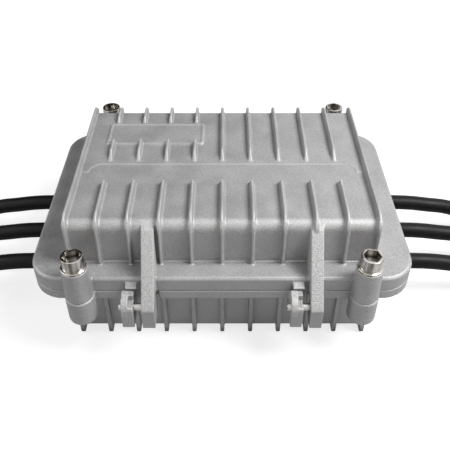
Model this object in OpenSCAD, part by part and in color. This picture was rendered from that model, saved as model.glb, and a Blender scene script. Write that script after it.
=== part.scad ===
/* [Base casting] */
// Width of the case walls, across the outermost fins
body_w = 187.4; // [180:0.2:192]
// Depth of the base walls, front to back
base_d = 136.8; // [134:0.2:140]
// Height of the joint face above the fin tips the case stands on
base_h = 49.7; // [48:0.1:56]
// Thickness of the cast walls
wall = 4; // [3:0.25:5]
// Thickness of the base floor
floor_t = 4; // [3:0.25:5]
// Height of the fins under the base
foot_fin_h = 4.2; // [3:0.2:5]
// How far the base fins stand out of the front and back walls
base_fin_out = 3.2; // [2:0.2:4.4]
// Thickness of a base fin
base_fin_t = 2.8; // [2:0.2:3.6]
// Thickness of the base flange
base_flange_t = 7.7; // [6:0.1:8]

/* [Lid casting] */
// Depth of the lid walls at their foot, front to back
lid_d = 129.6; // [126:0.2:132]
// Height of the lid plate above the joint face
lid_h = 39.2; // [37:0.2:44]
// Thickness of the lid flange
lid_flange_t = 10.3; // [9:0.1:11.5]
// How far the lid walls lean in from foot to top
lid_lean = 0.9; // [0.4:0.1:1.6]
// Radius of the long front edge of the lid
lid_front_r = 6; // [4:0.5:8]
// Radius of the long back edge of the lid
lid_back_r = 3.5; // [2:0.5:5]
// Height of the fins above the lid plate
lid_fin_h = 4.6; // [2.4:0.2:5.4]
// How far the lid fins stand out of the front and back walls
lid_fin_out = 3.2; // [2.4:0.2:4]
// Gap between the two joint faces
joint_gap = 0.3; // [0.2:0.05:0.5]

/* [Flanges] */
// Width of both flanges
flange_w = 234; // [230:1:240]
// Depth of both flanges
flange_d = 159.8; // [157:0.2:163]
// Corner radius of both flanges, seen from above
flange_r = 20; // [14:1:24]
// Width of the bevel along the outer flange edges
flange_bevel = 1; // [0.4:0.2:1.6]

/* [Cooling fins] */
// Number of fins on each side of the middle one
fin_side_count = 5; // [4:1:6]
// Thickness of a lid fin
fin_t = 2.4; // [1.8:0.2:3]
// Where the rear fins run out on the lid plate
rear_fin_end_y = -2; // [-3:0.5:3]
// Length of the sloped end of a rear fin
rear_fin_slope = 9; // [6:0.5:12]
// Where the front fins start on the lid plate
front_fin_start_y = -23.5; // [-27:0.5:-18]
// Length of the sloped start of a front fin
front_fin_slope = 3; // [1:0.5:5]

/* [Lid face] */
// Middle of the badge pad, across the lid
pad_x = -46; // [-48:0.5:-44]
// Middle of the badge pad, front to back
pad_y = 31.8; // [28:0.2:35]
// Width of the badge pad
pad_w = 66; // [60:0.5:68]
// Depth of the badge pad
pad_d = 25.6; // [20:0.2:28]
// Height of the badge pad above the lid plate
pad_h = 1.6; // [1:0.2:3]
// Width of the raised rim round the badge pad
pad_rim = 1.4; // [1:0.1:2]
// Depth of the bare recess inside the rim
pad_sink = 0.5; // [0.2:0.1:1]
// Length over which the fins behind the badge pad slope down to it
pad_fin_slope = 4.5; // [2:0.5:6]
// Width of the label band in front of the low raised panel
band_w = 173; // [160:1:176]
// Radius of the label band's rear corners
band_r = 9; // [4:1:14]
// Where the label band ends, towards the back
band_back_y = -3.5; // [-6:0.5:-2.5]
// Height of the low raised panel behind the label band
panel_h = 0.4; // [0.2:0.1:0.8]

/* [Cover screws] */
// Distance of each screw from the flange end
screw_inset = 31.4; // [30:0.2:33]
// How far each screw lies outside the flange edge
screw_out = 2.9; // [2:0.1:4]
// Radius of the lid boss at its top
boss_top_r = 7.9; // [7.6:0.1:8.4]
// Radius of the base bosses
boss_r = 8.8; // [8.4:0.1:9.2]
// Bevel round the top of a base boss, clear of the turning lid boss
boss_bevel = 0.9; // [0.8:0.1:1.3]
// How much slimmer a lid boss is than the base boss below it
boss_step = 0.3; // [0.2:0.1:0.6]
// Height of the lid bosses above the joint face
lid_boss_h = 22.2; // [20:0.2:24]
// Height of the base bosses below the joint face
base_boss_h = 19.7; // [18:0.1:21]
// Radius of the rounded lower end of a base boss
boss_round = 3; // [2:0.5:4]
// Thread diameter of the cover screws
screw_d = 8; // [7:0.5:8]
// Head diameter of the cover screws
screw_head_d = 13; // [12:0.5:14]
// Head height of the cover screws
screw_head_h = 8; // [7:0.5:9]
// Width across the flats of the hexagon socket
socket_af = 9.6; // [8:0.2:10]
// Depth of the hexagon socket
socket_depth = 5; // [3:0.5:6]
// Play of a cover screw in the lid, all round
screw_play = 0.4; // [0.2:0.1:0.6]
// Thickness of the washers
washer_t = 1.6; // [1:0.1:2]
// Outer diameter of the washers
washer_d = 15.4; // [14.5:0.1:15.6]
// Depth of the threaded hole in a base boss
thread_depth = 15; // [10:1:16]
// Gap that the drawn screw end keeps above the joint, so that it clears the tops of the ears
screw_end_gap = 5.2; // [5:0.2:7]

/* [Hinges] */
// Distance of the hinge axis in front of the flange edge
hinge_out = 10.1; // [9.8:0.1:11]
// Distance of the hinge axis below the base joint face
hinge_drop = 2.9; // [2.5:0.1:3.5]
// Middle of the left lid arm
left_arm_x = -43.7; // [-45:0.1:-42]
// Middle of the right lid arm
right_arm_x = 56; // [55:0.1:57]
// Middle of the left base ear
left_ear_x = -56; // [-58:0.1:-55.5]
// Middle of the right base ear
right_ear_x = 44.3; // [42:0.1:44.4]
// Width of a lid arm
arm_w = 7.6; // [7:0.1:8.6]
// Width of a base ear
ear_w = 7; // [6.5:0.1:7.4]
// Distance from the axis to the front face of the arms and ears
hinge_front = 6; // [5.5:0.1:7]
// Thickness of a lid arm behind its front face
arm_t = 11.5; // [10.5:0.1:12]
// Length of the arms and ears below the axis
hinge_tail = 12.5; // [11:0.1:13]
// Diameter of the hinge pins
pin_d = 4.5; // [4:0.1:5]
// Running clearance of a pin in its ear, all round
pin_play = 0.05; // [0.02:0.01:0.1]
// How far a pin stands out of its ear
pin_out = 2; // [1:0.5:3]
// Length of a pin held in its arm
pin_hold = 6.8; // [5:0.2:7]
// Clearance of the base notch round a lid arm
notch_play = 1.5; // [1:0.1:1.8]
// Clearance between the turning lid and the base ears
swing_play = 0.8; // [0.5:0.1:1.2]
// How far the rain ledge over an ear stands out of the lid flange
ledge_out = 4.2; // [3:0.1:4.6]
// Width of the rain ledge
ledge_w = 7; // [6:0.2:8]
// How far the rain ledge's middle lies to the right of its ear's middle
ledge_side = 1.6; // [0:0.2:2.4]

/* [Seal] */
// Width of the gasket
gasket_w = 3.5; // [3:0.1:4]
// Depth of the groove that the gasket lies in
groove_depth = 2.5; // [2:0.1:3]
// Play of the gasket in its groove, on each side
gasket_play = 0.1; // [0.05:0.05:0.3]
// How far the gasket stands above the joint face
gasket_up = 0.2; // [0.1:0.02:0.25]
// Distance from the gasket's middle to the flange edge, front and back
gasket_in_y = 8.2; // [7.6:0.1:8.6]
// Distance from the gasket's middle to the flange edge, left and right
gasket_in_x = 17; // [14:0.5:19]

/* [Cable glands] */
// Height of the cable entries above the fin tips
gland_z = 29; // [27:0.5:29.5]
// Distance between neighbouring cable entries
gland_pitch = 32; // [30:0.5:34]
// Thread diameter of the glands
gland_d = 20; // [19:0.5:20.5]
// Width across the flats of the gland hexagons
gland_af = 24; // [23.5:0.5:25]
// Thickness of the sealing washer under a gland
gland_washer_t = 1.5; // [1:0.1:2]
// Thickness of the gland body's hexagon
gland_hex_t = 5; // [4:0.5:6]
// Length of the domed gland nut
gland_nut_l = 14.8; // [13:0.1:16]
// Thickness of the locknut inside the wall
locknut_t = 4.5; // [3.5:0.5:5]
// Clearance between parts of a gland, all round
gland_play = 0.1; // [0.05:0.05:0.2]
// Outer diameter of the cables
cable_d = 10.8; // [10:0.1:11]
// Play of a cable in its seal, all round
cable_play = 0.05; // [0.02:0.01:0.1]

/* [Connectors] */
// Outer diameter of a connector shell
plug_d = 19; // [18.5:0.1:19]
// Length of the rubber boot of a connector
boot_l = 18; // [14:1:22]
// Length of a connector shell
shell_l = 42; // [38:1:46]
// Length of the part of a connector that mates
mate_l = 18; // [14:0.5:20]
// Outer diameter of the nose on a socket connector
nose_d = 15.8; // [15:0.1:16]
// Play of a nose in a plug's barrel, all round
mate_play = 0.1; // [0.05:0.05:0.3]
// Diameter of a contact pin
contact_d = 2.4; // [2:0.1:2.6]
// Radius of the circle that the contacts stand on
contact_ring_r = 4; // [3.8:0.1:4.4]

/* [Electronics] */
// Width of the circuit board
board_w = 150; // [146:1:154]
// Depth of the circuit board
board_d = 96; // [92:1:110]
// Thickness of the circuit board
board_t = 1.6; // [1.2:0.2:2.4]
// Height of the hexagon standoffs
standoff_h = 7; // [5:0.5:8]
// Height of the cast pads under the standoffs
board_pad_h = 1; // [0.5:0.25:2]
// Distance of each board screw from the board's edges
board_screw_in = 5; // [4:0.5:7]
// Thread diameter of the board screws
board_screw_d = 3; // [2.5:0.1:3]
// Width of the power module
power_w = 60; // [50:1:64]
// Depth of the power module
power_d = 38; // [30:1:40]
// Height of the power module
power_h = 22; // [16:1:23]
// Space between the power module and the terminal blocks beside it
power_gap = 3; // [1:0.5:5]
// Distance between neighbouring terminals
pole_pitch = 3.5; // [3.2:0.1:3.5]
// Diameter of a core wire
wire_d = 2; // [1.6:0.1:2.2]
// Free length of the cores between a cable's jacket and its terminal block
core_free_l = 13.2; // [10:0.2:16]

/* [Hidden] */
LEADS = ["power", "input", "out1", "out2", "out3", "out4"];
function each_lead(name) = [for (lead = LEADS) str(name, "_", lead)];
$fn = 48;
cast = [0.72, 0.72, 0.71];
steel = [0.75, 0.74, 0.72];
black = [0.08, 0.08, 0.08];
nickel = [0.62, 0.61, 0.58];

// Heights of the stacked castings
lid_z = base_h + joint_gap;
lid_top_z = lid_z + lid_h;
lid_flange_z = lid_z + lid_flange_t;
base_flange_z = base_h - base_flange_t;
floor_z = foot_fin_h + floor_t;
fin_pitch = (body_w - fin_t) / 2 / fin_side_count;
base_fin_pitch = (body_w - base_fin_t) / 2 / fin_side_count;
boss_top_z = lid_z + lid_boss_h;

// Extra length of a cutting tool beyond the face it cuts
over = 1;
// Overlap that joins two shapes of one casting
weld = 0.5;
arc_steps = 8;
foot_r = 3;
pad_r = 2;
inside_r = 5;
fin_foot_bevel = 0.6;

// Places of the screws, hinges and cable entries
screw_x = flange_w / 2 - screw_inset;
screw_y = flange_d / 2 + screw_out;
SCREWS = [[-screw_x, -screw_y], [screw_x, -screw_y], [screw_x, screw_y], [-screw_x, screw_y]];
hinge_y = -(flange_d / 2 + hinge_out);
hinge_z = base_h - hinge_drop;
arm_front_y = hinge_y - hinge_front;
lid_corner_r = norm([hinge_out, hinge_drop + joint_gap]);
ear_r = lid_corner_r - swing_play;
tail_r = norm([hinge_front, hinge_tail]);
notch_r = max(tail_r, norm([arm_t - hinge_front, hinge_tail])) + notch_play / 2;

// Each entry: side, and place along the side in pitches
ENTRIES = [[-1, 1], [-1, 0], [-1, -1], [1, -1], [1, 0], [1, 1]];
gland_start_x = body_w / 2;
gland_hex_x = gland_start_x + gland_washer_t;
nut_x = gland_hex_x + gland_hex_t;
nut_end_x = nut_x + gland_nut_l;
locknut_x = gland_start_x - wall - locknut_t;
stub_end_x = locknut_x - 2;
thread_out_l = 9.5;
seal_l = 8;
jacket_end_x = stub_end_x - 3;
bore_r = cable_d / 2 + 0.5;
seal_r = gland_d / 2 - 1.5;

// Electronics stack
board_z = floor_z + board_pad_h + standoff_h;
board_top_z = board_z + board_t;
block_w = 10;
block_x = jacket_end_x - core_free_l - block_w / 2;
block_h = gland_z - board_top_z + 5;
block_l = 3 * pole_pitch + 4;
wire_in = 4;
power_at = [power_w / 2 + power_gap + block_w / 2 - block_x, 18];
chip_rows = [-30, -10, 10, 30];
opto_x = 30;
opto_size = [6.5, 8.8, 3.6];
driver_x = 44;
driver_size = [6, 10, 2];
chip_lift = 0.3;
fuse_at = [-24, -22];
fuse_l = 20;
fuse_r = 2.6;
fuse_clip = [5, 7, 9];

// Routes of the free cables, by hand, from gland to connector: front, middle and back entry
ROUTE_FRONT = [
    [115, -32, 29], [128, -32, 28.9], [142, -32, 28.3], [156, -32, 26.5], [170, -32, 24.5],
    [183, -33, 20.4], [195, -35, 15.4], [207, -38, 10.6], [219, -42, 7.2], [231, -46, 5.7],
    [243, -50, 5.6], [255, -53, 7], [266, -55, 8.8], [277, -56, 9.5], [288, -56, 9.5]
];
ROUTE_MIDDLE = [
    [115, 0, 29], [128, 0, 28.9], [142, 0, 28.3], [156, 0, 26.5], [170, 0, 24.5],
    [183, 0, 20.4], [195, -1, 15.4], [207, -3, 10.6], [219, -6, 7.2], [231, -9, 5.7],
    [243, -11, 5.6], [255, -12, 7], [267, -12, 8.8], [279, -12, 9.5], [291, -12, 9.5]
];
ROUTE_BACK = [
    [115, 32, 29], [128, 32, 28.9], [142, 32, 28.3], [156, 32, 26.5], [170, 32, 24.5],
    [183, 32, 20.4], [195, 33, 15.4], [207, 35, 10.6], [219, 38, 7.2], [231, 42, 5.7],
    [243, 45, 5.6], [255, 47, 7], [266, 48, 8.8], [277, 48, 9.5], [288, 48, 9.5]
];
ROUTES = [ROUTE_FRONT, ROUTE_MIDDLE, ROUTE_BACK];
tube_sides = 10;
ring_every = 2;

function mirrored(points) = [for (p = points) [-p[0], p[1], p[2]]];
function route(i) =
    let (plain = ROUTES[ENTRIES[i][1] + 1]) ENTRIES[i][0] < 0 ? mirrored(plain) : plain;
function last(list) = list[len(list) - 1];
function unit(v) = v / norm(v);
function arc(centre, r, from, to, steps = arc_steps) =
    [for (s = [0:steps]) let (a = from + (to - from) * s / steps) centre + r * [cos(a), sin(a)]];
// Rings kept of a route: every second point, with both ends
function kept(points) =
    [for (k = [0:len(points) - 1]) if (k % ring_every == 0 || k == len(points) - 1) points[k]];
function heading(points, k) = unit(points[k + 1] - points[k - 1]);
function end_heading(points) = unit(last(points) - points[len(points) - 2]);

// Draws children, laid out as depth by height, as a slab of thickness t across the case
module across(t) {
    rotate([90, 0, 90]) linear_extrude(t, center = true) children();
}

// Places children at a hinge's middle, seen as depth by height
module at_x(x) {
    translate([x, 0, 0]) children();
}

// Rounded rectangle, centred
module rounded(w, d, r) {
    union() {
        square([w - 2 * r, d], center = true);
        square([w, d - 2 * r], center = true);
        for (sx = [-1, 1], sy = [-1, 1]) translate([sx * (w / 2 - r), sy * (d / 2 - r)]) circle(r);
    }
}

// Flange plate with one bevelled edge, upwards or downwards
module flange_plate(t, up) {
    step = up ? t - flange_bevel : flange_bevel;
    translate([0, 0, up ? 0 : flange_bevel]) linear_extrude(t - flange_bevel)
        rounded(flange_w, flange_d, flange_r);
    translate([0, 0, up ? step - weld : 0]) linear_extrude(flange_bevel + weld)
        rounded(flange_w - 2 * flange_bevel, flange_d - 2 * flange_bevel, flange_r - flange_bevel);
}

// Side outline of the lid shell, grown outwards by the fins' height
function lid_outline(out, up) =
    let (
        foot = lid_d / 2 + out,
        top = lid_d / 2 - lid_lean + out,
        z = lid_top_z + up,
        rf = lid_front_r + (out + up) / 2,
        rb = lid_back_r + (out + up) / 2
    )
    concat(
        [[foot, lid_flange_z - weld]],
        arc([top - rb, z - rb], rb, 0, 90),
        arc([-top + rf, z - rf], rf, 90, 180),
        [[-foot, lid_flange_z - weld]]
    );

// Keeps the part of a lid fin in front of the label band
module front_fin_mask() {
    polygon([
        [front_fin_start_y, 0],
        [front_fin_start_y, lid_top_z],
        [front_fin_start_y - front_fin_slope, lid_top_z + lid_fin_h],
        [front_fin_start_y - front_fin_slope, lid_top_z + 2 * lid_fin_h],
        [-flange_d / 2, lid_top_z + 2 * lid_fin_h],
        [-flange_d / 2, 0]
    ]);
}

// Keeps the part of a lid fin behind the label band
module rear_fin_mask() {
    polygon([
        [rear_fin_end_y, 0],
        [rear_fin_end_y, lid_top_z],
        [rear_fin_end_y + rear_fin_slope, lid_top_z + lid_fin_h],
        [rear_fin_end_y + rear_fin_slope, lid_top_z + 2 * lid_fin_h],
        [flange_d / 2, lid_top_z + 2 * lid_fin_h],
        [flange_d / 2, 0]
    ]);
}

// Fin outline on the lid
module lid_fin_outline() {
    polygon(lid_outline(lid_fin_out, lid_fin_h));
}

module lid_fins() {
    for (k = [-fin_side_count:fin_side_count]) at_x(k * fin_pitch) {
        if (abs(k) == fin_side_count) across(fin_t) lid_fin_outline();
        else {
            across(fin_t) intersection() {
                lid_fin_outline();
                front_fin_mask();
            }
            difference() {
                across(fin_t) intersection() {
                    lid_fin_outline();
                    rear_fin_mask();
                }
                if (abs(k * fin_pitch - pad_x) < (pad_w + fin_t) / 2)
                    across(fin_t + 2 * over) pad_fin_cut();
            }
        }
    }
}

// Cut through the fins over the badge pad: up to its front rim, and sloped behind it
module pad_fin_cut() {
    front = pad_y - pad_d / 2 + pad_rim;
    back = pad_y + pad_d / 2;
    polygon([
        [front, lid_top_z],
        [front, lid_top_z + 2 * lid_fin_h],
        [back + pad_fin_slope, lid_top_z + 2 * lid_fin_h],
        [back + pad_fin_slope, lid_top_z + lid_fin_h],
        [back, lid_top_z + pad_h],
        [back - pad_rim, lid_top_z]
    ]);
}

// Raised badge pad, left bare inside its rim
module badge_pad() {
    translate([pad_x, pad_y, lid_top_z]) difference() {
        translate([0, 0, -weld]) linear_extrude(pad_h + weld) rounded(pad_w, pad_d, pad_r);
        translate([0, 0, pad_h - pad_sink]) linear_extrude(pad_sink + over)
            rounded(pad_w - 2 * pad_rim, pad_d - 2 * pad_rim, pad_r - pad_rim / 2);
    }
}

// Low raised panel that ends round the rear corners of the label band
module raised_panel() {
    panel_w = body_w - fin_t;
    front = band_back_y - band_r;
    back = lid_d / 2 - lid_lean - lid_back_r;
    translate([0, 0, lid_top_z - weld]) linear_extrude(panel_h + weld) difference() {
        translate([-panel_w / 2, front]) square([panel_w, back - front]);
        translate([0, band_back_y - 2 * band_r]) rounded(band_w, 4 * band_r, band_r);
    }
}

// Tall lid boss round a cover screw
module lid_boss() {
    cylinder(h = lid_boss_h, r1 = boss_r - boss_step, r2 = boss_top_r);
}

// Lower boss with a rounded end
module base_boss() {
    rotate_extrude() polygon(concat(
        [[0, -base_boss_h], [boss_r - boss_round, -base_boss_h]],
        arc([boss_r - boss_round, boss_round - base_boss_h], boss_round, -90, 0),
        [[boss_r, -boss_bevel], [boss_r - boss_bevel, 0], [0, 0]]
    ));
}

// Side outline of a lid arm, from the lid's front edge down past the hinge axis
module arm_outline() {
    shoulder_z = hinge_z + 2;
    polygon([
        [arm_front_y, hinge_z - hinge_tail],
        [arm_front_y, shoulder_z],
        [-(lid_d / 2 - lid_lean) - 2, lid_top_z - lid_front_r / 2],
        [-(lid_d / 2 - lid_lean) + lid_front_r - 1, lid_top_z - weld],
        [-(lid_d / 2) + wall / 2, lid_flange_z - weld],
        [-flange_d / 2 + wall, lid_z],
        [arm_front_y + arm_t, lid_z],
        [arm_front_y + arm_t, hinge_z - hinge_tail]
    ]);
}

// Side outline of a base ear, kept inside the circle that the turning lid leaves free
module ear_outline() {
    intersection() {
        polygon(concat(
            [
                [-base_d / 2 + wall / 2, hinge_z - hinge_tail],
                [arm_front_y + 1, hinge_z - hinge_tail],
                [arm_front_y, hinge_z - hinge_tail + 1],
                [arm_front_y, hinge_z + 2.2]
            ],
            arc([arm_front_y + 7, hinge_z + 1.2], 7, 172, 90),
            [[hinge_y + hinge_out, hinge_z + 8.2], [-base_d / 2 + wall / 2, hinge_z]]
        ));
        union() {
            translate([hinge_y, hinge_z]) circle(ear_r, $fn = 96);
            translate([-base_d, 0]) square([base_d, hinge_z]);
        }
    }
}

// Small ledge on the lid flange over the top of an ear
module rain_ledge(ear_x) {
    front = hinge_y + hinge_out - ledge_out;
    low = hinge_z + sqrt(pow(lid_corner_r, 2) - pow(hinge_out - ledge_out, 2)) - 0.4;
    at_x(ear_x + ledge_side) across(ledge_w) polygon([
        [-flange_d / 2 + weld, low], [front, low], [front, low + 1.1],
        [-flange_d / 2 + weld, low + 2.6]
    ]);
}

// Round hole along the hinge axis
module hinge_hole(x, length, r) {
    translate([x, hinge_y, hinge_z]) rotate([0, 90, 0]) cylinder(h = length, r = r);
}

module lid_shell() {
    translate([0, 0, lid_z]) flange_plate(lid_flange_t, true);
    across(body_w) polygon(lid_outline(0, 0));
    lid_fins();
    badge_pad();
    raised_panel();
    for (p = SCREWS) translate([p[0], p[1], lid_z]) lid_boss();
    for (x = [left_arm_x, right_arm_x]) at_x(x) across(arm_w) arm_outline();
    for (x = [left_ear_x, right_ear_x]) rain_ledge(x);
}

// Hollow of the lid, open at the joint face
module lid_hollow() {
    back = lid_d / 2 - lid_lean - wall;
    across(body_w - 2 * wall) polygon(concat(
        [[lid_d / 2 - wall, lid_z - over], [back, lid_top_z - wall - inside_r]],
        arc([back - inside_r, lid_top_z - wall - inside_r], inside_r, 0, 90),
        arc([inside_r - back, lid_top_z - wall - inside_r], inside_r, 90, 180),
        [[wall - lid_d / 2, lid_z - over]]
    ));
}

module lid_housing() {
    color(cast) difference() {
        lid_shell();
        lid_hollow();
        for (p = SCREWS) translate([p[0], p[1], lid_z - over])
            cylinder(h = lid_boss_h + 2 * over, r = screw_d / 2 + screw_play);
        hinge_hole(left_arm_x - arm_w / 2 - over, pin_hold + over, pin_d / 2);
        hinge_hole(right_arm_x - arm_w / 2 - over, pin_hold + over, pin_d / 2);
    }
}

// Outline of a base fin, seen from the side
module base_fin_outline() {
    tip = base_d / 2 + base_fin_out;
    polygon(concat(
        [[tip, base_flange_z + weld]],
        arc([tip - foot_r, foot_r], foot_r, 0, -90),
        arc([foot_r - tip, foot_r], foot_r, -90, -180),
        [[-tip, base_flange_z + weld]]
    ));
}

module base_fins() {
    for (k = [-fin_side_count:fin_side_count]) at_x(k * base_fin_pitch) difference() {
        across(base_fin_t) base_fin_outline();
        for (side = [-1, 1]) translate([side * base_fin_t / 2, 0, 0]) rotate([0, 45, 0])
            cube([fin_foot_bevel, base_d + 3 * base_fin_out, fin_foot_bevel], center = true);
    }
}

module base_shell() {
    translate([0, 0, base_flange_z]) flange_plate(base_flange_t, false);
    across(body_w) polygon(concat(
        [[base_d / 2, base_flange_z + weld]],
        arc([base_d / 2 - foot_r, foot_fin_h + foot_r], foot_r, 0, -90),
        arc([foot_r - base_d / 2, foot_fin_h + foot_r], foot_r, -90, -180),
        [[-base_d / 2, base_flange_z + weld]]
    ));
    base_fins();
    for (p = SCREWS) translate([p[0], p[1], base_h]) base_boss();
    for (x = [left_ear_x, right_ear_x]) at_x(x) across(ear_w) ear_outline();
}

// Ring between two rounded rectangles, flat
module gasket_ring(half) {
    w = flange_w - 2 * gasket_in_x;
    d = flange_d - 2 * gasket_in_y;
    r = flange_r - gasket_in_y;
    difference() {
        rounded(w + 2 * half, d + 2 * half, r + half);
        rounded(w - 2 * half, d - 2 * half, r - half);
    }
}

// Open pocket in an ear, beside its arm
module ear_pocket(x) {
    translate([x + 0.6, arm_front_y - over, hinge_z + 3.9])
        cube([ear_w, 8.5, 10]);
}

module base_hollow() {
    translate([0, 0, floor_z]) linear_extrude(base_h)
        rounded(body_w - 2 * wall, base_d - 2 * wall, inside_r);
}

module base_housing() {
    color(cast) {
        difference() {
            base_shell();
            base_hollow();
            translate([0, 0, base_h - groove_depth]) linear_extrude(groove_depth + over)
                gasket_ring(gasket_w / 2 + gasket_play);
            for (p = SCREWS) translate([p[0], p[1], base_h - thread_depth])
                cylinder(h = thread_depth + over, r = screw_d / 2 - 0.6);
            for (x = [left_arm_x, right_arm_x])
                hinge_hole(x - arm_w / 2 - notch_play, arm_w + 2 * notch_play, notch_r);
            for (x = [left_ear_x, right_ear_x]) {
                hinge_hole(x - ear_w / 2 - over, ear_w + 2 * over, pin_d / 2 + pin_play);
                ear_pocket(x);
            }
            for (e = ENTRIES) translate([e[0] * body_w / 2, e[1] * gland_pitch, gland_z])
                rotate([0, 90, 0])
                    cylinder(h = 4 * wall, r = gland_d / 2 + gland_play, center = true);
        }
        for (p = board_corners()) difference() {
            translate([p[0], p[1], floor_z - weld]) cylinder(h = board_pad_h + weld, r = 5);
            translate([p[0], p[1], floor_z - weld]) cylinder(h = 3 * over, r = board_screw_d / 2);
        }
    }
}

module lid_gasket() {
    color(black) translate([0, 0, base_h - groove_depth])
        linear_extrude(groove_depth + gasket_up) gasket_ring(gasket_w / 2);
}

module cover_screw(n) {
    p = SCREWS[n - 1];
    head_z = boss_top_z + washer_t;
    shank = head_z - lid_z - screw_end_gap;
    color(steel) translate([p[0], p[1], head_z]) difference() {
        union() {
            cylinder(h = screw_head_h - 0.6, r = screw_head_d / 2);
            translate([0, 0, screw_head_h - 0.6])
                cylinder(h = 0.6, r1 = screw_head_d / 2, r2 = screw_head_d / 2 - 0.6);
            translate([0, 0, -shank]) cylinder(h = shank + weld, r = screw_d / 2);
        }
        translate([0, 0, screw_head_h - socket_depth])
            cylinder(h = socket_depth + over, r = socket_af / sqrt(3), $fn = 6);
    }
}

module cover_washers() {
    color(steel) for (p = SCREWS) translate([p[0], p[1], boss_top_z]) difference() {
        cylinder(h = washer_t, r = washer_d / 2);
        translate([0, 0, -over]) cylinder(h = washer_t + 2 * over, r = screw_d / 2 + screw_play);
    }
}

// Headless pin, held in the arm and running through the ear to its left
module hinge_pin(ear_x, arm_x) {
    from = ear_x - ear_w / 2 - pin_out;
    color(nickel) hinge_hole(from, arm_x - arm_w / 2 + pin_hold - from, pin_d / 2);
}

module hinge_pin_left() {
    hinge_pin(left_ear_x, left_arm_x);
}

module hinge_pin_right() {
    hinge_pin(right_ear_x, right_arm_x);
}

// Places children at cable entry i, with the way out along their Z axis from the case's middle
module at_entry(i) {
    e = ENTRIES[i];
    translate([0, e[1] * gland_pitch, gland_z]) rotate([0, e[0] * 90, 0]) children();
}

// Hexagon prism by its width across the flats
module hexagon(h, af) {
    rotate(30) cylinder(h = h, r = af / sqrt(3), $fn = 6);
}

module gland_body(i) {
    color(nickel) at_entry(i) difference() {
        union() {
            translate([0, 0, gland_hex_x]) hexagon(gland_hex_t, gland_af);
            translate([0, 0, stub_end_x])
                cylinder(h = nut_x + thread_out_l - stub_end_x, r = gland_d / 2);
        }
        translate([0, 0, stub_end_x - over]) cylinder(h = 4 * gland_nut_l, r = bore_r);
        translate([0, 0, nut_x + thread_out_l - seal_l])
            cylinder(h = seal_l + over, r = seal_r + gland_play);
    }
}

// Domed nut that squeezes the seal onto the cable
module gland_nut(i) {
    hex_l = 8;
    color(nickel) at_entry(i) difference() {
        union() {
            translate([0, 0, nut_x]) hexagon(hex_l, gland_af);
            translate([0, 0, nut_x + hex_l - weld])
                cylinder(h = gland_nut_l - hex_l + weld, r1 = gland_af / 2, r2 = gland_d / 2 - 0.6);
        }
        translate([0, 0, nut_x - over])
            cylinder(h = thread_out_l + gland_play + over, r = gland_d / 2 + gland_play);
        translate([0, 0, nut_x]) cylinder(h = gland_nut_l + over, r = cable_d / 2 + cable_play);
    }
}

// Tube piece inside one gland
module gland_ring(i, from, length, outer, inner) {
    at_entry(i) translate([0, 0, from]) difference() {
        cylinder(h = length, r = outer);
        translate([0, 0, -over]) cylinder(h = length + 2 * over, r = inner);
    }
}

module gland_seals() {
    color(black) for (i = [0:5])
        gland_ring(i, nut_x + thread_out_l - seal_l, seal_l, seal_r, cable_d / 2 + cable_play);
}

module gland_washers() {
    color(black) for (i = [0:5])
        gland_ring(i, gland_start_x, gland_washer_t, gland_af / 2, gland_d / 2 + gland_play);
}

module gland_locknuts() {
    color(nickel) for (i = [0:5]) at_entry(i) translate([0, 0, locknut_x]) difference() {
        hexagon(locknut_t, gland_af);
        translate([0, 0, -over]) cylinder(h = locknut_t + 2 * over, r = gland_d / 2 + cable_play);
    }
}

// Round tube along a list of points, level at both ends
module swept_tube(points, r) {
    rings = kept(points);
    n = len(rings);
    skin = [for (k = [0:n - 1]) let (
            level = [sign(points[0][0]), 0, 0],
            d = k == 0 ? level : k == n - 1 ? end_heading(points) : heading(rings, k),
            side = unit(cross(d, [0, 0, 1])),
            up = cross(side, d)
        ) for (s = [0:tube_sides - 1]) let (a = 360 * (s + 0.5) / tube_sides)
            rings[k] + r * (cos(a) * side + sin(a) * up)];
    walls = [for (k = [0:n - 2], s = [0:tube_sides - 1]) let (t = (s + 1) % tube_sides)
        each [
            [k * tube_sides + s, (k + 1) * tube_sides + s, (k + 1) * tube_sides + t],
            [k * tube_sides + s, (k + 1) * tube_sides + t, k * tube_sides + t]
        ]];
    start = [[for (s = [0:tube_sides - 1]) s]];
    end = [[for (s = [tube_sides - 1:-1:0]) (n - 1) * tube_sides + s]];
    polyhedron(skin, concat(walls, start, end));
}

module cable(i) {
    color(black) swept_tube(route(i), cable_d / 2);
}

// Places children at the free end of cable i, with the cable's heading along their Z axis
module at_cable_end(i) {
    d = end_heading(route(i));
    turn = atan2(d[1], d[0]);
    translate(last(route(i))) rotate([0, 90, turn]) children();
}

module connector_boot(i) {
    color(black) at_cable_end(i) cylinder(h = boot_l, r1 = cable_d / 2 + 1.2, r2 = plug_d / 2 - 1.5);
}

// The first two leads end in plugs with pins, the other four in sockets
function is_plug(i) = i < 2;

// Metal shell: an open barrel on a plug, a narrower nose on a socket connector
module connector_shell(i) {
    mouth_r = nose_d / 2 + mate_play;
    body_l = shell_l - mate_l;
    color(nickel) at_cable_end(i) translate([0, 0, boot_l]) difference() {
        if (is_plug(i)) cylinder(h = shell_l, r = plug_d / 2);
        else union() {
            cylinder(h = body_l, r = plug_d / 2);
            cylinder(h = shell_l, r = nose_d / 2);
        }
        translate([0, 0, body_l - insert_seat_l])
            cylinder(h = shell_l, r = is_plug(i) ? mouth_r : insert_r);
    }
}

insert_seat_l = 5;
insert_r = nose_d / 2 - 1.5;

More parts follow.
